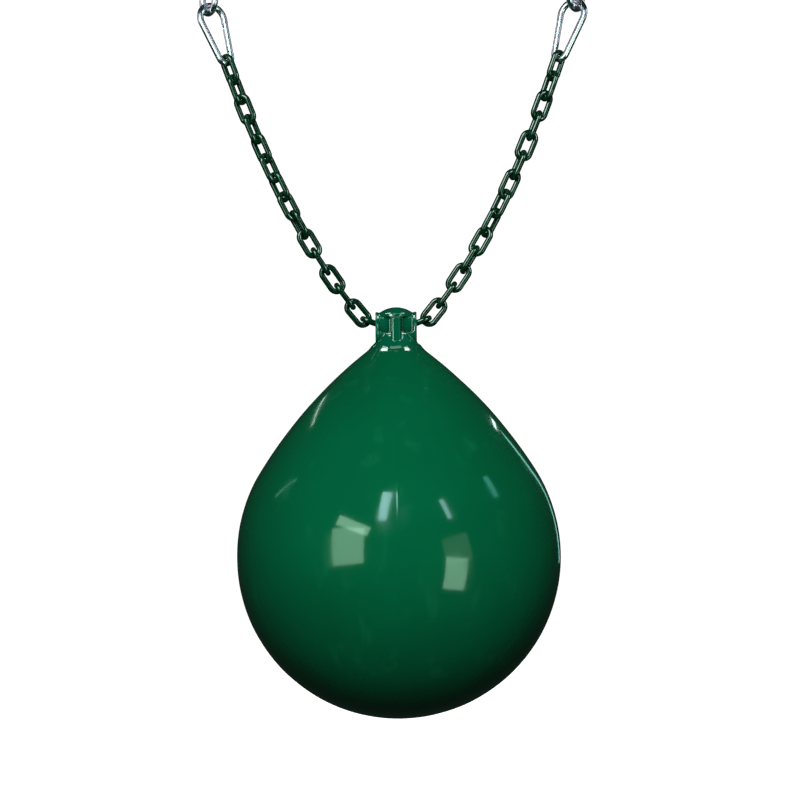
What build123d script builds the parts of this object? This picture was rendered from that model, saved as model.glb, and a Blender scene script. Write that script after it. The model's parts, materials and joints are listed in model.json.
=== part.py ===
from build123d import *
from math import asin, atan2, cos, degrees, radians, sin, sqrt
import os

# A ball hung in a chain sling.  Two eye bolts go up through a beam whose underside is the plane z = 0.
# Each carries a spring snap hook, each hook a run of chain, and both runs meet in the moulded eye on
# top of one large inflated ball.  +X runs across the two hangers, +Z is up, +Y is the back.
# "side" is -1 for the left half and +1 for the right half; the two halves mirror each other except
# for the twist of the chain.

# ---- chain ----
LINK_BAR = 6.9                # diameter of the coated bar
LINK_INNER_WIDTH = 8.6
LINK_GAP = 0.5                # clearance left between two bars that bear on each other
LINK_PITCH = 25.4
LINK_INNER_LENGTH = LINK_PITCH + LINK_GAP
LINK_BEND_R = (LINK_INNER_WIDTH + LINK_BAR) / 2
LINKS_PER_SIDE = 15           # link 1 hangs in the hook, link 15 reaches into the eye
LAST_LEAN = 69.0              # lean of link 15 from the vertical, in degrees
TOP_SLOPE = 2.856             # cotangent of the lean of link 1
SLOPE_STEP = 0.125            # fall of that cotangent from one link to the next, as the weight adds up
# Twist of each link about its own length.  Links alternate by a quarter turn on top of this.
TWIST_LEFT = [43, 55, 66, 59, 50, 48, 45, 37, 26, 13, 0, 0, 0, 0, 0]
TWIST_RIGHT = [43, 55, 67, 79, 86, 75, 63, 50, 38, 25, 12, 0, 0, 0, 0]

# ---- snap hook, 8 x 80 ----
WIRE = 8.0
HOOK_WIDE_R = 16.5            # centreline radius of the wide end
HOOK_NARROW_R = 8.5           # centreline radius of the narrow end
HOOK_INNER_LENGTH = 64.0
HOOK_YAW = 38.0               # turn of the hook's plane about its own length
GATE_R = 3.7
GATE_PIVOT = 8.2              # pivot, measured up the gate leg from the narrow bend
GATE_NOSE = 40.6              # end of the nose, measured the same way
TONGUE = 2.8                  # thickness of the two flats that the gate straddles
SLOT = 3.3                    # slots cut in both ends of the gate
CAM_R = 3.2                   # rounded end of the lower flat, about the pivot
PIVOT_PIN_R = 1.25
LATCH_PIN_R = 1.0
LATCH_DROP = 2.6              # latch pin, below the end of the nose
PIN_PLAY = 0.1

# ---- hangers ----
HALF_SPACING = 219.0          # from the middle plane to each eye bolt
BEAM = 89.0                   # thickness of the beam that the bolts pass through
EYE_INNER_R = 11.0
EYE_BAR = 8.0
EYE_CENTRE_Z = -25.0
EYE_TURN = 55.0               # turn of each eye about its shank
SHANK_R = 5.0
COLLAR_R = 5.25
SHOULDER_R = 8.0
SHOULDER_BOTTOM = -9.0
THREAD_R = 4.9
BOLT_TOP = 110.0
WASHER_R = 15.0
WASHER_BORE_R = 5.5
WASHER = 2.5
NUT_FLATS = 17.0
NUT_HEIGHT = 10.0
INSERT_R = 6.4
INSERT_HEIGHT = 3.0

# ---- ball ----
BALL_R = 193.0
WALL = 4.5
CROWN = 8.0                   # thickness of the flat crown under the eye
BALL_DROP = 271.0             # from the middle of the centre link to the middle of the ball
ROUND_TO = 32.0               # latitude where the sphere gives way to the flatter shoulder
SHOULDER_ARC_R = 542.0
SHOULDER_TO = 53.0            # slope at the crown

# ---- moulded eye ----
HOLE_R = 14.0
HOLE_STRAIGHT = 9.0           # half length of the straight part of the hole
MOUTH_ARC_R = 33.0            # the hole opens out in this radius toward each mouth
EYE_HALF_WIDTH = 24.6
BOSS_R = 21.3
RIM_R = 22.0
RIM = 3.0
POST_R = 22.5
STEM_R = 24.6                 # the thicker stem below the pockets
STEM_TOP = -8.0
STEM_BLEND = 3.0
DOME_R = 33.5
DOME_TOP = 25.2
FOOT_R = 30.0
FOOT_FLARE = 12.0             # height of the flare from the stem out to the foot
RIB = 11.0
RIB_Y = 27.0
RIB_TOP = 13.0
POCKET_FROM = 6.5
POCKET_TO = 20.0
POCKET_Z = (-6.0, 13.0)
POCKET_FLOOR_Y = 16.5

# ---- inflation valve ----
VALVE_LATITUDE = 28.0
VALVE_R = 12.0
VALVE_PROUD = 2.0
VALVE_DEPTH = 11.0
VALVE_BORE_R = 5.0
VALVE_SINK_R = 9.0
VALVE_SINK = 5.0
PLUG_HEAD_R = 7.6
PLUG_HEAD = 3.4
PLUG_SHANK_R = 4.8
SEAL_R = 6.25
SEAL_BAR_R = 1.2


def unit(vector):
    length = sqrt(vector[0] ** 2 + vector[1] ** 2 + vector[2] ** 2)
    return (vector[0] / length, vector[1] / length, vector[2] / length)


def along(point, direction, distance):
    return tuple(p + distance * d for p, d in zip(point, direction))


def lean_direction(side, lean):
    """The way up a piece that leans outward by this angle."""
    return (side * sin(radians(lean)), 0.0, cos(radians(lean)))


def cross_direction(side, lean, turn):
    """Across a leaning piece: turn 0 lies in the XZ plane, pointing inward, and 90 points to the back."""
    flat = (-side * cos(radians(lean)), 0.0, sin(radians(lean)))
    c, s = cos(radians(turn)), sin(radians(turn))
    return (c * flat[0], s, c * flat[2])


def link_lean(number):
    if number == LINKS_PER_SIDE:
        return LAST_LEAN
    return degrees(atan2(1.0, TOP_SLOPE - SLOPE_STEP * (number - 1)))


def link_reach(number):
    """Distance between the turning points of a link.

    Odd links stand edge-on and turn about the middles of their own end bars.  Even links turn about
    the end bars of their odd neighbours, which lie just inside them.
    """
    if number % 2:
        return LINK_INNER_LENGTH + LINK_BAR
    return LINK_INNER_LENGTH - LINK_BAR - 2 * LINK_GAP


def side_run(side, centre_z):
    """The links of one side from 15 up to 1, and the middle of the bar that hangs in the hook."""
    point = (side * link_reach(LINKS_PER_SIDE + 1) / 2, 0.0, centre_z)
    run = {}
    for number in range(LINKS_PER_SIDE, 0, -1):
        direction = lean_direction(side, link_lean(number))
        run[number] = (along(point, direction, link_reach(number) / 2), direction)
        point = along(point, direction, link_reach(number))
    return run, point


def link_turn(side, number):
    twist = (TWIST_LEFT if side < 0 else TWIST_RIGHT)[number - 1]
    return twist + (90 if number % 2 else 0)


# Where everything hangs.  The run is laid out from z = 0, then lowered until the hooks reach the eyes.
HOOK_SEAT = (LINK_BAR + LINK_GAP * 2) / 2      # from the hook's inner face to the middle of link 1's bar
TOP_BAR = side_run(1, 0.0)[1]
HOOK_RISE = HOOK_INNER_LENGTH - HOOK_SEAT
HOOK_LEAN = degrees(asin((HALF_SPACING - TOP_BAR[0]) / HOOK_RISE))
CONTACT_Z = EYE_CENTRE_Z - EYE_INNER_R         # inside of the eye, where the hook hangs
HOOK_PLAY = 0.9
CENTRE_Z = CONTACT_Z + HOOK_PLAY - HOOK_RISE * cos(radians(HOOK_LEAN)) - TOP_BAR[2]
BALL_Z = CENTRE_Z - BALL_DROP
HOLE_Z = CENTRE_Z + LINK_BEND_R + LINK_BAR / 2 + LINK_GAP - HOLE_R

HOOK_CENTRES = HOOK_INNER_LENGTH - (HOOK_WIDE_R - WIRE / 2) - (HOOK_NARROW_R - WIRE / 2)
LEG_ANGLE = asin((HOOK_WIDE_R - HOOK_NARROW_R) / HOOK_CENTRES)
LEG_LENGTH = sqrt(HOOK_CENTRES ** 2 - (HOOK_WIDE_R - HOOK_NARROW_R) ** 2)


def hook_plane(side):
    """The hook's own frame: origin in the narrow bend, x toward the gate, y up the hook."""
    up = lean_direction(side, HOOK_LEAN)
    across = cross_direction(side, HOOK_LEAN, HOOK_YAW)
    top = (side * HALF_SPACING, 0.0, CONTACT_Z + HOOK_PLAY)
    narrow = along(top, up, HOOK_NARROW_R - WIRE / 2 - HOOK_INNER_LENGTH)
    normal = Vector(*across).cross(Vector(*up))
    return Plane(origin=narrow, x_dir=across, z_dir=normal)


def gate_leg(offset, height):
    """A point on the gate leg in the hook's frame: offset outward, height up from the narrow bend."""
    out = (cos(LEG_ANGLE), -sin(LEG_ANGLE))
    up = (sin(LEG_ANGLE), cos(LEG_ANGLE))
    reach = HOOK_NARROW_R + offset
    return (reach * out[0] + height * up[0], reach * out[1] + height * up[1], 0.0)


def leg_frame():
    """A frame on the gate leg: x outward, y up the leg, z across the hook."""
    return Plane(origin=gate_leg(0, 0), x_dir=(cos(LEG_ANGLE), -sin(LEG_ANGLE), 0), z_dir=(0, 0, 1))


def bar_line(start, end, radius):
    """A round bar between two points."""
    direction = Vector(*end) - Vector(*start)
    frame = Plane(origin=start, z_dir=direction)
    return frame * Cylinder(radius, direction.length, align=(Align.CENTER, Align.CENTER, Align.MIN))


def bar_bend(centre, bend_r, start, sweep, radius):
    """A bend of round bar in the XY plane, from one angle through another."""
    angle = radians(start)
    point = (centre[0] + bend_r * cos(angle), centre[1] + bend_r * sin(angle), 0)
    frame = Plane(origin=point, x_dir=(0, 0, 1), z_dir=(-sin(angle), cos(angle), 0))
    return revolve(frame * Circle(radius), axis=Axis((centre[0], centre[1], 0), (0, 0, 1)), revolution_arc=sweep)


def box(x, y, z):
    """A box from its three pairs of limits."""
    corner = Box(x[1] - x[0], y[1] - y[0], z[1] - z[0], align=(Align.MIN, Align.MIN, Align.MIN))
    return Pos(x[0], y[0], z[0]) * corner


def save(name, shape):
    parts = [solid for solid in shape.solids()]
    whole = parts[0] if len(parts) == 1 else Compound(parts)
    export_step(whole, f"parts/{name}.step")


def chain_link():
    """One welded link, its length along Z and its width along X."""
    bend_z = (LINK_INNER_LENGTH - LINK_INNER_WIDTH) / 2
    bar_r = LINK_BAR / 2
    link = bar_bend((0, bend_z), LINK_BEND_R, 0, 180, bar_r)
    link += bar_bend((0, -bend_z), LINK_BEND_R, 180, 180, bar_r)
    for x in (-LINK_BEND_R, LINK_BEND_R):
        link += bar_line((x, -bend_z, 0), (x, bend_z, 0), bar_r)
    return Rot(90, 0, 0) * link


def hook_body():
    """The bent wire of the hook with the flat that the gate turns on and the notched flat of the nose."""
    wide = (0, HOOK_CENTRES)
    tilt = degrees(LEG_ANGLE)
    out = (-cos(LEG_ANGLE), -sin(LEG_ANGLE))
    radius = WIRE / 2
    body = bar_bend(wide, HOOK_WIDE_R, -tilt, 180 + 2 * tilt, radius)
    body += bar_bend((0, 0), HOOK_NARROW_R, 180 + tilt, 180 - 2 * tilt, radius)
    spine_low = (HOOK_NARROW_R * out[0], HOOK_NARROW_R * out[1], 0)
    spine_high = (HOOK_WIDE_R * out[0], HOOK_CENTRES + HOOK_WIDE_R * out[1], 0)
    body += bar_line(spine_low, spine_high, radius)

    stub_top = GATE_PIVOT - GATE_R - 0.4
    body += bar_line(gate_leg(0, 0), gate_leg(0, stub_top), radius)
    body += bar_line(gate_leg(0, GATE_NOSE), gate_leg(0, LEG_LENGTH), radius)

    half = TONGUE / 2
    lower = box((-CAM_R, CAM_R), (stub_top - 1, GATE_PIVOT), (-half, half))
    lower += Pos(0, GATE_PIVOT, 0) * Cylinder(CAM_R, TONGUE)
    lower -= Pos(0, GATE_PIVOT, 0) * Cylinder(PIVOT_PIN_R + PIN_PLAY, 2 * TONGUE)
    upper = box((-2.8, 2.8), (GATE_NOSE - 5.0, GATE_NOSE + 1), (-half, half))
    latch_y = GATE_NOSE - LATCH_DROP
    notch_r = LATCH_PIN_R + 0.25
    upper -= Pos(0, latch_y, 0) * Cylinder(notch_r, 2 * TONGUE)
    upper -= box((-4, 0), (latch_y - notch_r, latch_y + notch_r), (-TONGUE, TONGUE))
    frame = leg_frame()
    return body + frame * lower + frame * upper


def hook_gate():
    """The gate: a round bar slotted at both ends, drilled for two pins and for its spring."""
    top = GATE_NOSE - 0.3
    gate = bar_line((0, GATE_PIVOT, 0), (0, top, 0), GATE_R)
    foot = bar_line((0, GATE_PIVOT - GATE_R, 0), (0, GATE_PIVOT, 0), GATE_R)
    gate += foot & (Pos(0, GATE_PIVOT, 0) * Cylinder(GATE_R, 3 * GATE_R))
    half = SLOT / 2
    gate -= box((-5, 5), (0, GATE_PIVOT + GATE_R), (-half, half))
    gate -= box((-5, 5), (GATE_NOSE - 5.6, GATE_NOSE), (-half, half))
    gate -= Pos(0, GATE_PIVOT, 0) * Cylinder(PIVOT_PIN_R + PIN_PLAY, 4 * GATE_R)
    gate -= Pos(0, GATE_NOSE - LATCH_DROP, 0) * Cylinder(LATCH_PIN_R + 0.01, 4 * GATE_R)
    gate -= bar_line((0, GATE_PIVOT, 0), (0, GATE_PIVOT + 17, 0), 2.0)
    return gate


def gate_spring():
    """The coil that presses on the rounded flat and shuts the gate."""
    coil_r, wire_r, pitch = 1.45, 0.3, 1.5
    start = GATE_PIVOT + CAM_R + 0.1 + wire_r
    height = GATE_PIVOT + 17 - 0.3 - wire_r - start
    path = Helix(pitch, height, coil_r)
    section = Plane(origin=path @ 0, z_dir=path % 0) * Circle(wire_r)
    coil = sweep(section, path=path, is_frenet=True)
    return Pos(0, start, 0) * Rot(-90, 0, 0) * coil


def eye_bolt():
    """A closed eye on a shouldered shank with a thread at its top, the eye lying in the XZ plane."""
    bar_r = EYE_BAR / 2
    ring_r = EYE_INNER_R + bar_r
    eye = Pos(0, 0, EYE_CENTRE_Z) * Rot(90, 0, 0) * Torus(ring_r, bar_r)
    throat = Plane.XY.offset(EYE_CENTRE_Z + ring_r) * Circle(3.6)
    collar = Plane.XY.offset(SHOULDER_BOTTOM) * Circle(SHOULDER_R - 1)
    bolt = eye + loft([throat.face(), collar.face()])
    steps = [
        (SHOULDER_R, SHOULDER_BOTTOM, -WASHER),
        (COLLAR_R, -WASHER, 0.0),
        (SHANK_R, 0.0, BEAM),
        (THREAD_R, BEAM, BOLT_TOP),
    ]
    for radius, low, high in steps:
        bolt += bar_line((0, 0, low), (0, 0, high), radius)
    return bolt


def washer(bottom):
    ring = bar_line((0, 0, bottom), (0, 0, bottom + WASHER), WASHER_R)
    return ring - bar_line((0, 0, bottom - 1), (0, 0, bottom + WASHER + 1), WASHER_BORE_R)


def lock_nut():
    """A hexagon nut with a round collar that holds the insert."""
    bottom = BEAM + WASHER
    corner_r = NUT_FLATS / sqrt(3)
    hexagon = Plane.XY.offset(bottom) * RegularPolygon(corner_r, 6)
    nut = extrude(hexagon, NUT_HEIGHT - INSERT_HEIGHT)
    cone = Pos(0, 0, bottom + 3.2) * Cone(corner_r + 2.4, corner_r - 1.0, 9.0)
    nut = nut & cone
    nut += bar_line((0, 0, bottom + 4), (0, 0, bottom + NUT_HEIGHT), NUT_FLATS / 2 - 0.5)
    nut -= bar_line((0, 0, bottom - 1), (0, 0, bottom + NUT_HEIGHT + 1), THREAD_R + 0.05)
    nut -= bar_line((0, 0, bottom + NUT_HEIGHT - INSERT_HEIGHT), (0, 0, bottom + NUT_HEIGHT - 0.8), INSERT_R)
    return nut


def nut_insert():
    bottom = BEAM + WASHER + NUT_HEIGHT - INSERT_HEIGHT
    top = BEAM + WASHER + NUT_HEIGHT - 0.8
    ring = bar_line((0, 0, bottom), (0, 0, top), INSERT_R)
    return ring - bar_line((0, 0, bottom - 1), (0, 0, top + 1), THREAD_R + 0.05)


def on_both_bolts(shape):
    return Compound([Pos(side * HALF_SPACING, 0, 0) * shape for side in (-1, 1)])


def arc_point(centre, radius, angle):
    return (centre[0] + radius * cos(radians(angle)), 0, centre[1] + radius * sin(radians(angle)))


def ball_shell():
    """The hollow ball: a sphere below, a flatter shoulder above, closed by a flat crown."""
    shoulder = (
        (BALL_R - SHOULDER_ARC_R) * cos(radians(ROUND_TO)),
        (BALL_R - SHOULDER_ARC_R) * sin(radians(ROUND_TO)),
    )
    mid = (ROUND_TO + SHOULDER_TO) / 2
    crown_z = shoulder[1] + SHOULDER_ARC_R * sin(radians(SHOULDER_TO))
    edges = []
    for inset in (0.0, WALL):
        ball_r = BALL_R - inset
        arc_r = SHOULDER_ARC_R - inset
        top_z = crown_z - (CROWN if inset else 0.0)
        top_angle = degrees(asin((top_z - shoulder[1]) / arc_r))
        half_way = (ROUND_TO + top_angle) / 2
        bottom = arc_point((0, 0), ball_r, -90)
        join = arc_point((0, 0), ball_r, ROUND_TO)
        top = arc_point(shoulder, arc_r, top_angle)
        edges.append(ThreePointArc(bottom, arc_point((0, 0), ball_r, -30), join))
        edges.append(ThreePointArc(join, arc_point(shoulder, arc_r, half_way), top))
        edges.append(Line(top, (0, 0, top_z)))
    edges.append(Line((0, 0, -BALL_R), (0, 0, -BALL_R + WALL)))
    edges.append(Line((0, 0, crown_z - CROWN), (0, 0, crown_z)))
    shell = revolve(make_face(Wire(edges)), axis=Axis.Z)
    shell = Pos(0, 0, BALL_Z) * shell
    return shell - valve_frame() * bar_line((0, 0, -2 * VALVE_DEPTH), (0, 0, 20), VALVE_R), BALL_Z + crown_z


def hole_cutter():
    """The hole through the moulded eye, opening out toward both mouths, about the X axis."""
    end = EYE_HALF_WIDTH + 2
    run = end - HOLE_STRAIGHT
    flare = MOUTH_ARC_R - sqrt(MOUTH_ARC_R ** 2 - run ** 2)
    half_run = run / 2
    half_flare = MOUTH_ARC_R - sqrt(MOUTH_ARC_R ** 2 - half_run ** 2)
    edges = [Line((-HOLE_STRAIGHT, 0, HOLE_R), (HOLE_STRAIGHT, 0, HOLE_R)), Line((-end, 0, 0), (end, 0, 0))]
    for side in (-1, 1):
        inner = (side * HOLE_STRAIGHT, 0, HOLE_R)
        middle = (side * (HOLE_STRAIGHT + half_run), 0, HOLE_R + half_flare)
        outer = (side * end, 0, HOLE_R + flare)
        edges.append(ThreePointArc(inner, middle, outer))
        edges.append(Line(outer, (side * end, 0, 0)))
    return Pos(0, 0, HOLE_Z) * revolve(make_face(Wire(edges)), axis=Axis.X)


def moulded_eye(base_z):
    """The thick eye on the crown: a domed post with a cross boss, ribs and pockets."""
    top = CENTRE_Z + DOME_TOP
    dome_centre = top - DOME_R
    edge_z = dome_centre + sqrt(DOME_R ** 2 - POST_R ** 2)
    half_r = POST_R / 2
    half_z = dome_centre + sqrt(DOME_R ** 2 - half_r ** 2)
    foot_z = base_z + 1.0
    flare_r = ((FOOT_R - STEM_R) ** 2 + FOOT_FLARE ** 2) / (2 * (FOOT_R - STEM_R))
    flare_z = foot_z + FOOT_FLARE
    half_turn = asin(FOOT_FLARE / flare_r) / 2
    stem_z = CENTRE_Z + STEM_TOP
    bend = (STEM_R + flare_r * (1 - cos(half_turn)), 0, flare_z - flare_r * sin(half_turn))
    post = Wire([
        Line((0, 0, base_z), (FOOT_R, 0, base_z)),
        Line((FOOT_R, 0, base_z), (FOOT_R, 0, foot_z)),
        ThreePointArc((FOOT_R, 0, foot_z), bend, (STEM_R, 0, flare_z)),
        Line((STEM_R, 0, flare_z), (STEM_R, 0, stem_z)),
        Line((STEM_R, 0, stem_z), (POST_R, 0, stem_z + STEM_BLEND)),
        Line((POST_R, 0, stem_z + STEM_BLEND), (POST_R, 0, edge_z)),
        ThreePointArc((POST_R, 0, edge_z), (half_r, 0, half_z), (0, 0, top)),
        Line((0, 0, top), (0, 0, base_z)),
    ])
    eye = revolve(make_face(post), axis=Axis.Z)
    eye += bar_line((-EYE_HALF_WIDTH, 0, HOLE_Z), (EYE_HALF_WIDTH, 0, HOLE_Z), BOSS_R)
    for side in (-1, 1):
        outer = (side * EYE_HALF_WIDTH, 0, HOLE_Z)
        eye += bar_line((side * (EYE_HALF_WIDTH - RIM), 0, HOLE_Z), outer, RIM_R)
    for face in (-1, 1):
        y = sorted((face * POCKET_FLOOR_Y, face * (POCKET_FLOOR_Y + 20)))
        for side in (-1, 1):
            x = sorted((side * POCKET_FROM, side * POCKET_TO))
            z = (CENTRE_Z + POCKET_Z[0], CENTRE_Z + POCKET_Z[1])
            pocket = box(x, y, z)
            eye -= fillet(pocket.edges().filter_by(Axis.Y), 3.0)
        rib_y = sorted((0, face * RIB_Y))
        rib = box((-RIB / 2, RIB / 2), rib_y, (base_z, CENTRE_Z + RIB_TOP))
        edge_y = face * RIB_Y
        front = [e for e in rib.edges() if abs(e.center().Y - edge_y) < 0.01 and e.center().Z > base_z + 1]
        eye += fillet(front, 2.5)
    eye -= hole_cutter()
    return eye & box((-60, 60), (-60, 60), (base_z, top + 5))


def valve_frame():
    """A frame on the back of the ball's shoulder: z straight out through the wall."""
    out = (0, cos(radians(VALVE_LATITUDE)), sin(radians(VALVE_LATITUDE)))
    return Plane(origin=along((0, 0, BALL_Z), out, BALL_R), x_dir=(1, 0, 0), z_dir=out)


def valve_body():
    body = bar_line((0, 0, -VALVE_DEPTH), (0, 0, VALVE_PROUD), VALVE_R)
    floor = VALVE_PROUD - VALVE_SINK
    body -= bar_line((0, 0, floor), (0, 0, VALVE_PROUD + 1), VALVE_SINK_R)
    return body - bar_line((0, 0, -VALVE_DEPTH - 1), (0, 0, floor + 1), VALVE_BORE_R)


def valve_seal():
    return Pos(0, 0, VALVE_PROUD - VALVE_SINK + SEAL_BAR_R + 0.02) * Torus(SEAL_R, SEAL_BAR_R)


def valve_plug():
    under = VALVE_PROUD - VALVE_SINK + 2 * SEAL_BAR_R + 0.04
    plug = bar_line((0, 0, under), (0, 0, under + PLUG_HEAD), PLUG_HEAD_R)
    plug += bar_line((0, 0, -VALVE_DEPTH + 0.5), (0, 0, under), PLUG_SHANK_R)
    plug -= box((-1.2, 1.2), (-PLUG_HEAD_R - 1, PLUG_HEAD_R + 1), (under + PLUG_HEAD - 2.0, under + PLUG_HEAD + 1))
    return plug


os.makedirs("parts", exist_ok=True)

save("lower_washers", on_both_bolts(washer(-WASHER)))
save("upper_washers", on_both_bolts(washer(BEAM)))
save("lock_nuts", on_both_bolts(lock_nut()))
save("nut_inserts", on_both_bolts(nut_insert()))

for side, word in ((-1, "left"), (1, "right")):
    turned = Plane(origin=(side * HALF_SPACING, 0, 0), x_dir=cross_direction(side, 0, -EYE_TURN), z_dir=(0, 0, 1))
    save(f"eye_bolt_{word}", turned * eye_bolt())
    frame = hook_plane(side)
    save(f"snap_hook_{word}", frame * hook_body())
    leg = leg_frame()
    pivot_pin = Pos(0, GATE_PIVOT, 0) * Cylinder(PIVOT_PIN_R, 2 * GATE_R + 0.4)
    latch_pin = Pos(0, GATE_NOSE - LATCH_DROP, 0) * Cylinder(LATCH_PIN_R, 2 * GATE_R - 0.2)
    save(f"gate_pin_{word}", frame * (leg * pivot_pin))
    save(f"gate_{word}", frame * (leg * hook_gate()))
    save(f"latch_pin_{word}", frame * (leg * latch_pin))
    save(f"gate_spring_{word}", frame * (leg * gate_spring()))

link = chain_link()
for side, word in ((-1, "left"), (1, "right")):
    run = side_run(side, CENTRE_Z)[0]
    for number, (centre, direction) in run.items():
        across = cross_direction(side, link_lean(number), link_turn(side, number))
        place = Plane(origin=centre, x_dir=across, z_dir=direction)
        save(f"link_{word}_{number:02d}", place * link)
save("link_centre", Plane(origin=(0, 0, CENTRE_Z), x_dir=(0, 0, 1), z_dir=(1, 0, 0)) * link)

shell, crown_top = ball_shell()
save("ball_shell", shell)
save("moulded_eye", moulded_eye(crown_top))
for name, shape in (("valve_body", valve_body()), ("valve_seal", valve_seal()), ("valve_plug", valve_plug())):
    save(name, valve_frame() * shape)
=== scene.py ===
"""Looks of the hanging inflatable ball: finer meshes, materials, a pale studio and the camera."""
import json
import math
import random

import bmesh
import bpy
import numpy as np
from mathutils import Matrix, Vector, noise


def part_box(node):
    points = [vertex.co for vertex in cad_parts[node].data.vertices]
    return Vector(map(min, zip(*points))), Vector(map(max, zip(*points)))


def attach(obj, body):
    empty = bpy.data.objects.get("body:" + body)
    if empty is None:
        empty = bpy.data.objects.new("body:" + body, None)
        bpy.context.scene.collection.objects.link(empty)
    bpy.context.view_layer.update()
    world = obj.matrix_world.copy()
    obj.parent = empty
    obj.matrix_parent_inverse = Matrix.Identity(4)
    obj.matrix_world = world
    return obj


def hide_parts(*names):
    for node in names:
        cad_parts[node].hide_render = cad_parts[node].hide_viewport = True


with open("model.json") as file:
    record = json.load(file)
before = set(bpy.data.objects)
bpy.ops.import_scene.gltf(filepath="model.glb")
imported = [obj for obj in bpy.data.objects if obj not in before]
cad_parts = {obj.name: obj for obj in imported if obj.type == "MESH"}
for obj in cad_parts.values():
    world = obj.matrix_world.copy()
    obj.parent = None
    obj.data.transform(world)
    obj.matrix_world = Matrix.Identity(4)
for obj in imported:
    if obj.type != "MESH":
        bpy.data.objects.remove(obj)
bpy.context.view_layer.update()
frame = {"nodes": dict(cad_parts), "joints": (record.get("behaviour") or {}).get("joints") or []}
NODES = frame["nodes"]
MM = 0.001
SIDES = ("left", "right")
LINKS = [f"link_{side}_{number:02d}" for side in SIDES for number in range(1, 16)] + ["link_centre"]


# ---------------------------------------------------------------- mesh helpers

def new_object(name, vertices, faces, smooth=True):
    """A mesh object from plain lists, with its faces turned outward."""
    mesh = bpy.data.meshes.new(name)
    mesh.from_pydata([tuple(v) for v in vertices], [], faces)
    shape = bmesh.new()
    shape.from_mesh(mesh)
    bmesh.ops.recalc_face_normals(shape, faces=shape.faces)
    shape.to_mesh(mesh)
    shape.free()
    for polygon in mesh.polygons:
        polygon.use_smooth = smooth
    obj = bpy.data.objects.new(name, mesh)
    bpy.context.scene.collection.objects.link(obj)
    return obj


def ring_faces(rings, around, closed):
    """Quads between rings of points, the last ring joined to the first if closed."""
    faces = []
    for i in range(rings if closed else rings - 1):
        low, high = i * around, ((i + 1) % rings) * around
        for j in range(around):
            k = (j + 1) % around
            faces.append((low + j, low + k, high + k, high + j))
    return faces


def node_points(name):
    """The vertices of a CAD node as an array, in metres."""
    mesh = NODES[name].data
    points = np.empty(len(mesh.vertices) * 3, np.float64)
    mesh.vertices.foreach_get("co", points)
    return points.reshape(-1, 3)


def main_axes(points):
    """Middle of a shape and its long, wide and thin directions."""
    centre = (points.max(0) + points.min(0)) / 2
    axes = np.linalg.eigh(np.cov((points - points.mean(0)).T))[1]
    return centre, [Vector(axes[:, k]) for k in (2, 1, 0)]


def joint_at(name):
    """(point, direction) of a joint, in metres."""
    joint = next(j for j in frame["joints"] if j["name"] == name)
    return Vector(joint.get("pos_m", (0, 0, 0))), Vector(joint["axis"])


# ---------------------------------------------------------------- chain links

LINK_STEPS = 88
LINK_SIDES = 20
DIP_WAVE = 0.09 * MM          # how much the plastic dip swells and thins along the bar
DIP_WAVES_PER_METRE = 140
DIP_BIAS = 0.6                # keeps most of the uneven dip just inside the ideal bar


def link_mesh(name, seed):
    """A link as a bent round bar with the soft unevenness of a thick dip."""
    points = node_points(name)
    centre, (long, wide, thin) = main_axes(points)
    local = points - points.mean(0)
    extent = [np.ptp(local @ np.array(axis)) for axis in (long, wide, thin)]
    bar_r = extent[2] / 2
    bend_r = extent[1] / 2 - bar_r
    straight = extent[0] / 2 - bar_r - bend_r
    middle = Vector(centre)
    rng = random.Random(seed)
    drift = Vector((rng.uniform(0, 90), rng.uniform(0, 90), rng.uniform(0, 90)))

    arc = math.pi * bend_r
    total = 2 * arc + 4 * straight
    vertices = []
    for i in range(LINK_STEPS):
        s = i / LINK_STEPS * total
        if s < 2 * straight:
            along, across, turn = s - straight, bend_r, 0.0
        elif s < 2 * straight + arc:
            turn = (s - 2 * straight) / bend_r
            along, across = straight + bend_r * math.sin(turn), bend_r * math.cos(turn)
        elif s < 4 * straight + arc:
            turn = math.pi
            along, across = straight - (s - 2 * straight - arc), -bend_r
        else:
            turn = math.pi + (s - 4 * straight - arc) / bend_r
            along, across = -straight + bend_r * math.sin(turn), bend_r * math.cos(turn)
        outward = wide * math.cos(turn) + long * math.sin(turn)
        core = middle + long * along + wide * across
        for j in range(LINK_SIDES):
            a = 2 * math.pi * j / LINK_SIDES
            direction = outward * math.cos(a) + thin * math.sin(a)
            point = core + direction * bar_r
            swell = noise.noise((point * DIP_WAVES_PER_METRE) + drift)
            vertices.append(point + direction * DIP_WAVE * (swell - DIP_BIAS))
    obj = new_object(f"dipped_{name}", vertices, ring_faces(LINK_STEPS, LINK_SIDES, True))
    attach(obj, name)
    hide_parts(name)
    return obj


# ---------------------------------------------------------------- ball

BALL_POINTS = node_points("ball_shell")
BALL_R = float(BALL_POINTS[:, 0].max())
BALL_BOTTOM = float(BALL_POINTS[:, 2].min())
BALL_TOP = float(BALL_POINTS[:, 2].max())
BALL_CENTRE = Vector((0.0, 0.0, BALL_BOTTOM + BALL_R))
SHOULDER_R = 542 * MM
ROUND_TO = math.radians(32)
SHOULDER_TO = math.radians(53)
VALVE_OUT = joint_at("plug_turn")[1]
SEAM_WIDTH = 1.3 * MM
SEAM_HEIGHT = 0.10 * MM
SKIN_STEPS = 230              # rows of points from the bottom to the crown
CROWN_ROWS = 4                # the last rows, where the unevenness fades out under the eye
SLOW_WAVE, SLOW_WAVES_PER_METRE = 0.5 * MM, 9.0
FINE_WAVE, FINE_WAVES_PER_METRE = 0.20 * MM, 26.0
FINE_WAVE_SHIFT = Vector((7, 3, 1))
PLEAT_DEPTH = 0.55 * MM
PLEAT_WIDTH = 4.5 * MM
PLEAT_MIDDLE_R, PLEAT_SPAN = 30 * MM, 38 * MM
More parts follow.
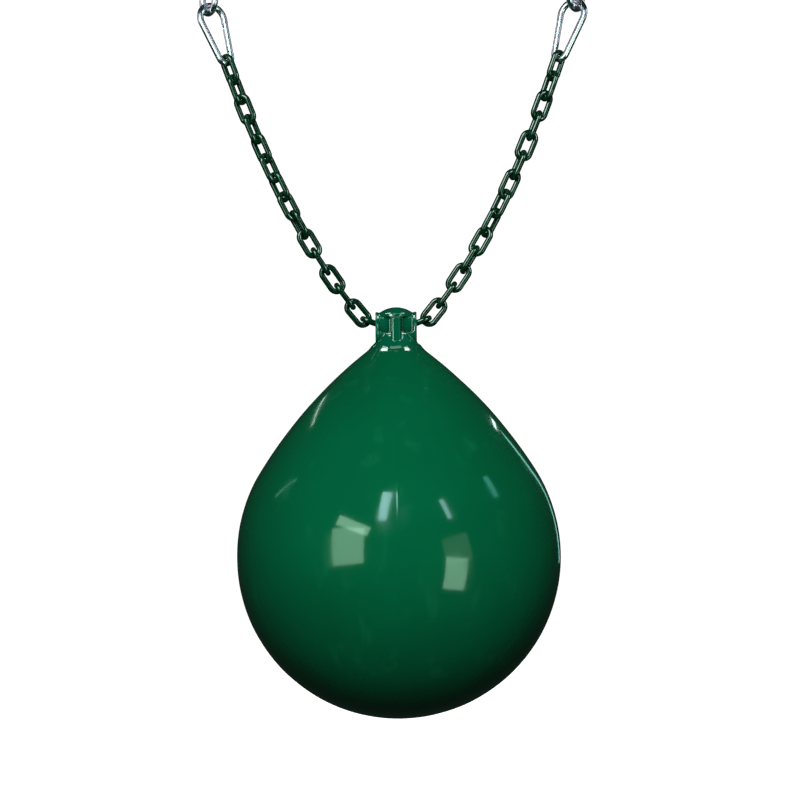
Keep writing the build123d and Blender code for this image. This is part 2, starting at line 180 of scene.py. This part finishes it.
PLEATS = [                    # (angle around the ball, share of the full depth)
    (0.35, 0.9), (0.62, 0.7), (0.95, 1.0), (1.5, 0.5), (2.3, 0.8),
    (2.75, 0.6), (3.6, 0.7), (4.4, 0.9), (5.5, 0.6),
]


def profile(share):
    """(radius, height over the ball's middle, slope) at a share of the way from the bottom to the crown."""
    sphere = BALL_R * (math.pi / 2 + ROUND_TO)
    shoulder = SHOULDER_R * (SHOULDER_TO - ROUND_TO)
    s = share * (sphere + shoulder)
    if s < sphere:
        angle = -math.pi / 2 + s / BALL_R
        return BALL_R * math.cos(angle), BALL_R * math.sin(angle), angle
    angle = ROUND_TO + (s - sphere) / SHOULDER_R
    offset = BALL_R - SHOULDER_R
    r = offset * math.cos(ROUND_TO) + SHOULDER_R * math.cos(angle)
    return r, offset * math.sin(ROUND_TO) + SHOULDER_R * math.sin(angle), angle


def seam_angles():
    """Angles around the ball, closer together where the two mould seams run, at the front and the back."""
    angles = {round(math.radians(k * 1.5), 6) for k in range(240)}
    for seam in (math.pi / 2, 3 * math.pi / 2):
        for k in range(-8, 9):
            angles.add(round(seam + math.radians(0.12 * k), 6))
    return sorted(angles)


def surface_offset(point, angle, radius, height):
    """How far the vinyl stands off its ideal shape: slow waves, the mould seam and pleats by the crown."""
    wave = noise.noise(point * SLOW_WAVES_PER_METRE) * SLOW_WAVE
    wave += noise.noise(point * FINE_WAVES_PER_METRE + FINE_WAVE_SHIFT) * FINE_WAVE
    across = abs(math.sin(angle - math.pi / 2)) * radius
    seam = SEAM_HEIGHT * math.exp(-(across / SEAM_WIDTH) ** 2) * min(1.0, radius / (20 * MM))
    near_crown = math.exp(-((radius - PLEAT_MIDDLE_R) / PLEAT_SPAN) ** 2) if height > 0 else 0.0
    pleat = 0.0
    for centre, strength in PLEATS:
        gap = (angle - centre + math.pi) % (2 * math.pi) - math.pi
        pleat += strength * math.exp(-(gap * max(radius, 25 * MM) / PLEAT_WIDTH) ** 2)
    return wave * min(1.0, radius / (60 * MM)) + seam - PLEAT_DEPTH * pleat * near_crown


def ball_mesh():
    """The inflated skin: one closed surface, its crown flat under the moulded eye."""
    angles = seam_angles()
    vertices = [BALL_CENTRE + Vector((0, 0, -BALL_R))]
    for i in range(1, SKIN_STEPS + 1):
        radius, height, slope = profile(i / SKIN_STEPS)
        for angle in angles:
            flat = math.cos(slope)
            out = Vector((math.cos(angle) * flat, math.sin(angle) * flat, math.sin(slope)))
            point = BALL_CENTRE + Vector((radius * math.cos(angle), radius * math.sin(angle), height))
            fade = min(1.0, (SKIN_STEPS - i) / CROWN_ROWS)
            vertices.append(point + out * fade * surface_offset(point, angle, radius, height))
    count = len(angles)
    faces = [(0, 1 + (j + 1) % count, 1 + j) for j in range(count)]
    faces += [tuple(v + 1 for v in face) for face in ring_faces(SKIN_STEPS, count, False)]
    vertices.append(Vector((0, 0, BALL_TOP)))
    crown, last = len(vertices) - 1, 1 + (SKIN_STEPS - 1) * count
    faces += [(crown, last + j, last + (j + 1) % count) for j in range(count)]
    obj = new_object("inflated_skin", vertices, faces)
    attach(obj, "ball")
    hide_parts("ball_shell")
    return obj


# ---------------------------------------------------------------- soft mouldings

def soft_copy(node, name, voxel, rounds, body, extra=None):
    """A copy of a CAD node with the rounded edges of a thick moulding, and an extra mesh melted into it."""
    source = NODES[node]
    joined = bmesh.new()
    joined.from_mesh(source.data)
    if extra:
        joined.from_mesh(extra)
    data = bpy.data.meshes.new(name)
    joined.to_mesh(data)
    joined.free()
    obj = bpy.data.objects.new(name, data)
    bpy.context.scene.collection.objects.link(obj)
    remesh = obj.modifiers.new("remesh", "REMESH")
    remesh.mode = "VOXEL"
    remesh.voxel_size = voxel
    smooth = obj.modifiers.new("smooth", "SMOOTH")
    smooth.factor = 0.5
    smooth.iterations = rounds
    graph = bpy.context.evaluated_depsgraph_get()
    mesh = bpy.data.meshes.new_from_object(obj.evaluated_get(graph))
    obj.modifiers.clear()
    obj.data = mesh
    obj.data.materials.clear()
    for polygon in mesh.polygons:
        polygon.use_smooth = True
    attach(obj, body)
    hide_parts(node)
    return obj


HOLE_Z = joint_at("ball_rock")[0].z
HOLE_R = 14.05 * MM
HOLE_STRAIGHT = 9.0 * MM      # half the length over which the hole keeps its radius
MOUTH_LENGTH = 15.6 * MM
MOUTH_BEND_R = 33 * MM
PLUG_HALF = 46 * MM
STEM_R = 24.75 * MM
FLARE_REACH = 36.5 * MM       # where the stem's flare runs out on the shoulder of the ball
FLARE_STEPS = 24
FLARE_INNER_R, FLARE_LIP_R = 18 * MM, 34 * MM
FLARE_SINK = 3 * MM           # how far the collar goes down into the eye's foot


def mouth_radius(x):
    """Radius of the hole through the eye, which opens out toward its mouths."""
    run = min(max(abs(x) - HOLE_STRAIGHT, 0.0), MOUTH_LENGTH)
    return HOLE_R + MOUTH_BEND_R - math.sqrt(MOUTH_BEND_R ** 2 - run ** 2)


def hole_plug():
    """The space inside the hole, a little longer than the eye is wide, for cutting."""
    around, rows = 96, 60
    vertices = []
    for i in range(rows):
        x = -PLUG_HALF + 2 * PLUG_HALF * i / (rows - 1)
        r = mouth_radius(x)
        for j in range(around):
            a = 2 * math.pi * j / around
            vertices.append((x, r * math.cos(a), HOLE_Z + r * math.sin(a)))
    faces = ring_faces(rows, around, False)
    faces += [tuple(range(around)), tuple(range((rows - 1) * around, rows * around))]
    return new_object("hole plug", vertices, faces)


def flare_collar():
    """The concave flare from the stem out onto the ball, as a closed ring with the hole cut through."""
    offset = BALL_R - SHOULDER_R
    angle = math.acos((FLARE_REACH - offset * math.cos(ROUND_TO)) / SHOULDER_R)
    foot_z = BALL_CENTRE.z + offset * math.sin(ROUND_TO) + SHOULDER_R * math.sin(angle)
    flare_r = (FLARE_REACH - STEM_R) / (1 - math.cos(angle))
    profile_points = []
    for k in range(FLARE_STEPS):
        turn = angle * (1 - k / (FLARE_STEPS + 2))
        r = FLARE_REACH + flare_r * (math.cos(angle) - math.cos(turn))
        profile_points.append((r, foot_z + flare_r * (math.sin(angle) - math.sin(turn))))
    top, bottom = profile_points[-1][1], foot_z - FLARE_SINK
    profile_points += [(FLARE_INNER_R, top), (FLARE_INNER_R, bottom), (FLARE_LIP_R, bottom)]
    around = 160
    vertices = []
    for r, z in profile_points:
        turns = (2 * math.pi * j / around for j in range(around))
        vertices += [(r * math.cos(a), r * math.sin(a), z) for a in turns]
    collar = new_object("flare collar", vertices, ring_faces(len(profile_points), around, True))
    plug = hole_plug()
    cut = collar.modifiers.new("cut", "BOOLEAN")
    cut.operation = "DIFFERENCE"
    cut.object = plug
    cut.solver = "EXACT"
    mesh = bpy.data.meshes.new_from_object(collar.evaluated_get(bpy.context.evaluated_depsgraph_get()))
    for helper in (collar, plug):
        bpy.data.objects.remove(helper)
    return mesh


# ---------------------------------------------------------------- threads

THREAD_PITCH = 1.5 * MM
THREAD_DEPTH = 0.75 * MM
THREAD_CORE_R = 4.3 * MM
THREAD_ROOT = 0.3             # share of the depth that stands all along the root
THREAD_TAPER = 1.2 * MM       # length over which the thread runs out at the tip
ROWS_PER_PITCH = 10


def thread_mesh(side):
    """The rolled thread above the beam, standing on the thinner end of the shank."""
    low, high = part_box(f"eye_bolt_{side}")
    x = (low[0] + high[0]) / 2
    nut_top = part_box("lock_nuts")[1][2]
    around = 40
    start, end = nut_top - 0.5 * MM, high[2] - 0.3 * MM
    rows = int((end - start) / (THREAD_PITCH / ROWS_PER_PITCH))
    vertices = []
    for i in range(rows):
        z = start + (end - start) * i / (rows - 1)
        for j in range(around):
            turn = j / around
            phase = ((z - start) / THREAD_PITCH - turn) % 1.0
            rise = 1 - abs(2 * phase - 1)
            taper = min(1.0, (end - z) / THREAD_TAPER)
            r = THREAD_CORE_R + THREAD_DEPTH * (THREAD_ROOT + (1 - THREAD_ROOT) * rise * taper)
            a = 2 * math.pi * turn
            vertices.append((x + r * math.cos(a), r * math.sin(a), z))
    faces = ring_faces(rows, around, False)
    faces.append(tuple(range(around)))
    faces.append(tuple(range((rows - 1) * around, rows * around)))
    obj = new_object(f"rolled_thread_{side}", vertices, faces)
    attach(obj, "hangers")
    return obj


# ---------------------------------------------------------------- materials

def start_material(name):
    """(material, its node tree, its surface shader) of a new material."""
    material = bpy.data.materials.new(name)
    material.use_nodes = True
    tree = material.node_tree
    return material, tree, tree.nodes["Principled BSDF"]


def object_noise(tree, scale, detail=3.0, stretch=None):
    """Noise in the object's own coordinates, which every view and every pose share."""
    place = tree.nodes.new("ShaderNodeTexCoord")
    source = place.outputs["Object"]
    if stretch:
        mapping = tree.nodes.new("ShaderNodeMapping")
        mapping.inputs["Scale"].default_value = stretch
        tree.links.new(source, mapping.inputs["Vector"])
        source = mapping.outputs["Vector"]
    texture = tree.nodes.new("ShaderNodeTexNoise")
    texture.inputs["Scale"].default_value = scale
    texture.inputs["Detail"].default_value = detail
    tree.links.new(source, texture.inputs["Vector"])
    return texture.outputs["Fac"]


def spread(tree, value, low, high, start=0.3, end=0.7):
    """A value between start and end stretched to run from low to high."""
    node = tree.nodes.new("ShaderNodeMapRange")
    node.inputs["From Min"].default_value = start
    node.inputs["From Max"].default_value = end
    node.inputs["To Min"].default_value = low
    node.inputs["To Max"].default_value = high
    tree.links.new(value, node.inputs["Value"])
    return node.outputs["Result"]


def blend_colours(tree, factor, first, second):
    """A mix of two colours, each a fixed colour or another node's output."""
    node = tree.nodes.new("ShaderNodeMix")
    node.data_type = "RGBA"
    tree.links.new(factor, node.inputs["Factor"])
    for socket, colour in (("A", first), ("B", second)):
        entry = [i for i in node.inputs if i.name == socket and i.type == "RGBA"][0]
        if isinstance(colour, tuple):
            entry.default_value = (*colour, 1.0)
        else:
            tree.links.new(colour, entry)
    return [o for o in node.outputs if o.type == "RGBA"][0]


def add_bumps(tree, shader, layers):
    """Bump layers of (height, strength, distance), one on top of the other."""
    previous = None
    for height, strength, distance in layers:
        bump = tree.nodes.new("ShaderNodeBump")
        bump.inputs["Strength"].default_value = strength
        bump.inputs["Distance"].default_value = distance
        tree.links.new(height, bump.inputs["Height"])
        if previous:
            tree.links.new(previous, bump.inputs["Normal"])
        previous = bump.outputs["Normal"]
    tree.links.new(previous, shader.inputs["Normal"])


def edge_wear(tree, low=0.52, high=0.62):
    """High on worn edges, from how sharply the surface is curved."""
    geometry = tree.nodes.new("ShaderNodeNewGeometry")
    return spread(tree, geometry.outputs["Pointiness"], 0.0, 1.0, low, high)


# reach of the painted shade that darkens the eye's pockets
PAINTED_SHADE_REACH = 14 * MM


def painted_pocket_shade(tree):
    """Painted shade: low in narrow recesses and high on open faces, from ambient occlusion within a short
    reach.
    """
    node = tree.nodes.new("ShaderNodeAmbientOcclusion")
    node.inputs["Distance"].default_value = PAINTED_SHADE_REACH
    return spread(tree, node.outputs["AO"], 0.0, 1.0, 0.45, 0.85)


def vinyl(name, deep, bright, gloss, painted_shade_colour=None):
    """Glossy inflatable vinyl: slow colour drift, faint scuffs and the light orange peel of the mould.

    A colour for painted shade, where one is given, darkens the pockets.
    """
    material, tree, shader = start_material(name)
    drift = object_noise(tree, 5.0, 4.0)
    scuffs = object_noise(tree, 38.0, 6.0, (1.0, 1.0, 0.35))
    colour = blend_colours(tree, spread(tree, drift, 0.0, 1.0), deep, bright)
    dusty = tuple(min(1.0, c * 1.25 + 0.004) for c in bright)
    colour = blend_colours(tree, spread(tree, scuffs, 0.0, 0.5, 0.60, 0.75), colour, dusty)
    # painted shade: the colour runs toward the dark shade colour where a recess is narrow
    if painted_shade_colour:
        colour = blend_colours(tree, painted_pocket_shade(tree), painted_shade_colour, colour)
    tree.links.new(colour, shader.inputs["Base Color"])
    tree.links.new(spread(tree, scuffs, gloss, gloss + 0.12, 0.45, 0.75), shader.inputs["Roughness"])
    peel = object_noise(tree, 420.0, 2.0)
    dents = object_noise(tree, 60.0, 3.0)
    add_bumps(tree, shader, [(dents, 0.10, 0.4 * MM), (peel, 0.06, 0.10 * MM)])
    shader.inputs["IOR"].default_value = 1.5
    shader.inputs["Coat Weight"].default_value = 0.35
    shader.inputs["Coat Roughness"].default_value = 0.05
    return material


def dipped_plastic():
    """The thick dark green dip of the chain, uneven in depth, with paler rubbed patches."""
    material, tree, shader = start_material("chain dip")
    drift = object_noise(tree, 60.0, 3.0)
    thick, thin = (0.0003, 0.015, 0.005), (0.0005, 0.034, 0.012)
    colour = blend_colours(tree, spread(tree, drift, 0.0, 1.0), thick, thin)
    rubbed = object_noise(tree, 260.0, 5.0)
    colour = blend_colours(tree, spread(tree, rubbed, 0.0, 0.35, 0.58, 0.72), colour, (0.002, 0.036, 0.017))
    tree.links.new(colour, shader.inputs["Base Color"])
    tree.links.new(spread(tree, rubbed, 0.05, 0.15), shader.inputs["Roughness"])
    ripple = object_noise(tree, 210.0, 2.0)
    peel = object_noise(tree, 900.0, 2.0)
    add_bumps(tree, shader, [(ripple, 0.22, 0.22 * MM), (peel, 0.06, 0.04 * MM)])
    shader.inputs["IOR"].default_value = 1.52
    shader.inputs["Coat Weight"].default_value = 0.5
    shader.inputs["Coat Roughness"].default_value = 0.04
    return material


def zinc(name, colour_low, colour_high, rough):
    """Bright zinc plate: cloudy patches, fine drawing lines and rubbed edges."""
    material, tree, shader = start_material(name)
    cloud = object_noise(tree, 90.0, 4.0)
    lines = object_noise(tree, 160.0, 5.0, (1.0, 1.0, 6.0))
    colour = blend_colours(tree, spread(tree, cloud, 0.0, 1.0), colour_low, colour_high)
    colour = blend_colours(tree, edge_wear(tree), colour, (0.93, 0.93, 0.95))
    tree.links.new(colour, shader.inputs["Base Color"])
    tree.links.new(spread(tree, cloud, rough - 0.06, rough + 0.08), shader.inputs["Roughness"])
    pits = object_noise(tree, 700.0, 3.0)
    add_bumps(tree, shader, [(lines, 0.08, 0.05 * MM), (pits, 0.10, 0.03 * MM)])
    shader.inputs["Metallic"].default_value = 1.0
    return material


def moulded(name, low, high, rough):
    """Plain moulded plastic or rubber with a fine grain."""
    material, tree, shader = start_material(name)
    cloud = object_noise(tree, 120.0, 4.0)
    grain = object_noise(tree, 1400.0, 2.0)
    colour = blend_colours(tree, spread(tree, cloud, 0.0, 1.0), low, high)
    tree.links.new(colour, shader.inputs["Base Color"])
    tree.links.new(spread(tree, cloud, rough - 0.07, rough + 0.10), shader.inputs["Roughness"])
    add_bumps(tree, shader, [(grain, 0.25, 0.05 * MM)])
    return material


def give(obj, material):
    """Put one material on a piece."""
    obj.data.materials.clear()
    obj.data.materials.append(material)


BALL_VINYL = vinyl("ball vinyl", (0.0002, 0.100, 0.037), (0.0003, 0.126, 0.048), 0.09)
# the eye vinyl gets painted shade in its pockets, in the last colour given
EYE_VINYL = vinyl(
    "eye vinyl", (0.0002, 0.080, 0.036), (0.0003, 0.120, 0.056), 0.06, painted_shade_colour=(0.0002, 0.020, 0.009)
)
CHAIN_DIP = dipped_plastic()
ZINC = zinc("zinc plate", (0.78, 0.76, 0.84), (0.93, 0.91, 0.97), 0.20)
SPRING_WIRE = zinc("spring wire", (0.38, 0.38, 0.40), (0.52, 0.52, 0.54), 0.35)
NYLON = moulded("natural nylon", (0.55, 0.57, 0.60), (0.68, 0.69, 0.70), 0.45)
VALVE_PLASTIC = moulded("valve plastic", (0.012, 0.013, 0.013), (0.024, 0.025, 0.025), 0.40)
SEAL_RUBBER = moulded("seal rubber", (0.006, 0.006, 0.006), (0.014, 0.014, 0.014), 0.65)

FIRST_SEED = 100
HOOK_PARTS = ("eye_bolt", "snap_hook", "gate", "gate_pin", "latch_pin")

CHAIN = [link_mesh(node, FIRST_SEED + index) for index, node in enumerate(LINKS)]
for link in CHAIN:
    give(link, CHAIN_DIP)
SOFT_EYE = soft_copy("moulded_eye", "soft_eye", 0.5 * MM, 18, "ball", flare_collar())
give(SOFT_EYE, EYE_VINYL)
give(ball_mesh(), BALL_VINYL)
give(soft_copy("valve_body", "soft_valve_socket", 0.35 * MM, 3, "ball"), VALVE_PLASTIC)
METAL = [thread_mesh(side) for side in SIDES]
METAL += [NODES[node] for node in ("lower_washers", "upper_washers", "lock_nuts")]
for side in SIDES:
    METAL += [NODES[f"{stem}_{side}"] for stem in HOOK_PARTS]
for piece in METAL:
    give(piece, ZINC)
for side in SIDES:
    give(NODES[f"gate_spring_{side}"], SPRING_WIRE)
give(NODES["nut_inserts"], NYLON)
give(NODES["valve_plug"], VALVE_PLASTIC)
give(NODES["valve_seal"], SEAL_RUBBER)


# ---------------------------------------------------------------- studio

FLOOR_Z = BALL_BOTTOM - 0.36
WALL_R, WALL_TOP, WALL_BEND_R = 6.0, 7.0, 1.3
PALE_GREEN = (0.58, 1.0, 0.72)
PALE_BLUE = (0.55, 0.95, 1.0)
GLINT_GREEN = (0.72, 1.0, 0.85)
GLINT_WHITE = (0.85, 1.0, 0.95)
VIOLET_WHITE = (0.90, 0.85, 1.0)
ROOM_COLOUR, ROOM_STRENGTH = (0.45, 1.0, 0.70, 1.0), 0.02
WINDOW_DISTANCE = 2.6         # from the ball to the lamps that are mirrored in it


def sweep():
    """A round pale floor that curves up into a wall all the way around, white from every side."""
    around, bend_steps = 96, 16
    flat_r = WALL_R - WALL_BEND_R
    outline = [(0.02, 0.0), (flat_r, 0.0)]
    for k in range(1, bend_steps + 1):
        a = math.pi / 2 * k / bend_steps
        outline.append((flat_r + WALL_BEND_R * math.sin(a), WALL_BEND_R - WALL_BEND_R * math.cos(a)))
    outline.append((WALL_R, WALL_TOP))
    vertices = []
    for r, z in outline:
        turns = (2 * math.pi * j / around for j in range(around))
        vertices += [(r * math.cos(a), r * math.sin(a), FLOOR_Z + z) for a in turns]
    faces = ring_faces(len(outline), around, False) + [tuple(range(around))]
    obj = new_object("pale_sweep", vertices, faces)
    material, tree, shader = start_material("pale paper")
    grain = object_noise(tree, 6.0, 3.0)
    colour = blend_colours(tree, spread(tree, grain, 0.0, 1.0), (0.86, 0.86, 0.86), (0.90, 0.90, 0.90))
    tree.links.new(colour, shader.inputs["Base Color"])
    shader.inputs["Roughness"].default_value = 0.9
    shader.inputs["Specular IOR Level"].default_value = 0.1
    shader.inputs["Emission Color"].default_value = (1.0, 1.0, 1.0, 1.0)
    shader.inputs["Emission Strength"].default_value = 1.0
    give(obj, material)
    obj.visible_glossy = False
    obj.visible_diffuse = False


def toward(azimuth, elevation):
    """A direction from the ball.  Azimuth 0 is in front of it, 90 is to its right."""
    a, e = math.radians(azimuth), math.radians(elevation)
    return Vector((math.sin(a) * math.cos(e), -math.cos(a) * math.cos(e), math.sin(e)))


def add_lamp(name, out, sideways, distance, size, power, colour, only):
    """A rectangular lamp facing the ball, its width along a sideways direction."""
    lamp = bpy.data.lights.new(name, "AREA")
    lamp.shape = "RECTANGLE"
    lamp.size, lamp.size_y = size
    lamp.energy = power
    lamp.color = colour
    obj = bpy.data.objects.new(name, lamp)
    across = (sideways - out * sideways.dot(out)).normalized()
    turn = Matrix((across, out.cross(across), out)).transposed()
    obj.matrix_world = Matrix.Translation(BALL_CENTRE + out * distance) @ turn.to_4x4()
    obj.visible_camera = False
    if only:
        obj.light_linking.receiver_collection = only
    bpy.context.scene.collection.objects.link(obj)
    return obj


def soft_light(name, azimuth, elevation, distance, size, power, colour=(1, 1, 1), only=None, lean=0.0):
    """An upright lamp, leaning by an angle in degrees, for all pieces or only those in one collection."""
    out = toward(azimuth, elevation)
    level = Vector((0, 0, 1)).cross(out)
    sideways = Matrix.Rotation(math.radians(lean), 3, out) @ level
    return add_lamp(name, out, sideways, distance, size, power, colour, only)


def room_light(name, azimuth, elevation, distance, size, power):
    """A lamp that lights the surfaces but isn't mirrored in them."""
    soft_light(name, azimuth, elevation, distance, size, power).visible_glossy = False


def window(name, azimuth, elevation, size, power, colour, only=None, lean=0.0):
    """A lamp that is only mirrored in glossy surfaces."""
    lamp = soft_light(name, azimuth, elevation, WINDOW_DISTANCE, size, power, colour, only, lean)
    lamp.visible_diffuse = False


def mirrored_strip(name, start, end, width, power, colour):
    """A narrow lamp between two directions, only mirrored in glossy surfaces."""
    first, last = toward(*start), toward(*end)
    size = ((last - first).length * WINDOW_DISTANCE, width)
    out = (first + last).normalized()
    add_lamp(name, out, last - first, WINDOW_DISTANCE, size, power, colour, None).visible_diffuse = False


def lit_group(name, pieces):
    """A collection that a lamp can be kept to."""
    group = bpy.data.collections.new(name)
    for piece in pieces:
        group.objects.link(piece)
    return group


def studio():
    """The sweep and the lamps.  Angles are in degrees, distances and sizes in metres, power in watts."""
    sweep()
    metal = lit_group("metal pieces", METAL)
    chain = lit_group("chain", CHAIN)
    eye = lit_group("eye", [SOFT_EYE])

    # the soft light of the studio
    room_light("key", -3, 30, 3.2, (1.1, 1.1), 103)
    room_light("low_fill", 42, -24, 3.0, (1.2, 1.0), 9)
    room_light("back_light", 168, 40, 3.2, (3.0, 1.2), 40)

    # windows and lamps mirrored in the ball
    window("window_left", -35, 10, (1.0, 1.05), 12, PALE_GREEN, lean=6)
    window("window_left_top", -33, 23, (1.05, 0.30), 5, PALE_GREEN, lean=-16)
    window("window_right", 38.5, -8, (0.72, 0.95), 8.5, PALE_GREEN, lean=-5)
    window("window_right_top", 40, 7, (0.85, 0.75), 1.4, PALE_GREEN, lean=9)
    window("slot_left", -11, 38, (0.28, 0.95), 7, PALE_BLUE, lean=-4)
    window("slot_right", 38, 33, (0.14, 0.6), 1.5, PALE_BLUE, lean=10)
    window("slot_far_right", 86, 36, (0.20, 0.5), 0.9, (0.2, 0.9, 0.8), lean=-14)
    mirrored_strip("strip_left_high", (-150, 28), (-129, 37), 0.03, 0.30, (0.75, 1.0, 0.85))
    mirrored_strip("strip_left_low", (-102, 36), (-111, 23), 0.05, 0.20, (0.45, 1.0, 0.80))
    mirrored_strip("strip_right_high", (150.5, 22), (141, 27), 0.03, 0.30, (0.75, 1.0, 0.95))
    mirrored_strip("strip_right_low", (146.5, 22.5), (154.5, -6), 0.09, 0.7, (0.35, 0.95, 0.85))

    # pale cards around the metal
    soft_light("metal_card", -8, 20, 3.0, (2.4, 2.2), 23, (1.0, 0.97, 1.0), metal)
    soft_light("metal_side_left", -82, 20, 3.0, (2.0, 2.4), 12, VIOLET_WHITE, metal)
    soft_light("metal_side_right", 82, 20, 3.0, (2.0, 2.4), 9, VIOLET_WHITE, metal)
    soft_light("metal_back", 178, 12, 3.0, (3.4, 3.0), 26, (0.86, 0.80, 1.0), metal)

    # glints on the chain and on the moulded eye
    window("glint_left", -30, 40, (1.3, 1.1), 46, GLINT_GREEN, chain)
    window("glint_right", 48, 22, (0.8, 1.1), 30, GLINT_GREEN, chain)
    window("eye_streak", -32, 12, (0.6, 1.5), 36, (0.75, 1.0, 0.93), eye)
    window("eye_low_streak", 30, 30, (0.5, 0.9), 14, (0.8, 1.0, 1.0), eye)
    window("eye_ledge_left", -112, 66, (0.9, 0.7), 26, GLINT_WHITE, eye)
    window("eye_ledge_right", 108, 70, (0.8, 0.4), 13, GLINT_WHITE, eye)
    window("eye_crown", -10, 82, (1.2, 0.6), 6, PALE_GREEN, eye)

    world = bpy.data.worlds.new("room")
    world.use_nodes = True
    background = world.node_tree.nodes["Background"]
    background.inputs["Color"].default_value = ROOM_COLOUR
    background.inputs["Strength"].default_value = ROOM_STRENGTH
    bpy.context.scene.world = world
    bpy.context.scene.view_settings.view_transform = "Standard"


# ---------------------------------------------------------------- camera

FRAME_WIDTH = 0.956           # width of the scene seen at the object's distance
LENS = 85.0
SENSOR = 36.0
ROLL = math.radians(0.7)
AIM_RIGHT, AIM_UNDER_HOLE = 3.6 * MM, 83.4 * MM
AIM = Vector((AIM_RIGHT, 0.0, HOLE_Z - AIM_UNDER_HOLE))


def camera():
    """A level camera straight in front, turned a little about its own axis."""
    data = bpy.data.cameras.new("camera")
    data.lens = LENS
    data.sensor_width = SENSOR
    obj = bpy.data.objects.new("camera", data)
    distance = FRAME_WIDTH * LENS / SENSOR
    facing = Matrix.Rotation(math.radians(90), 4, "X")
    tilt = Matrix.Rotation(ROLL, 4, "Y")
    obj.matrix_world = Matrix.Translation(AIM + Vector((0, -distance, 0))) @ tilt @ facing
    bpy.context.scene.collection.objects.link(obj)
    bpy.context.scene.camera = obj


studio()
camera()
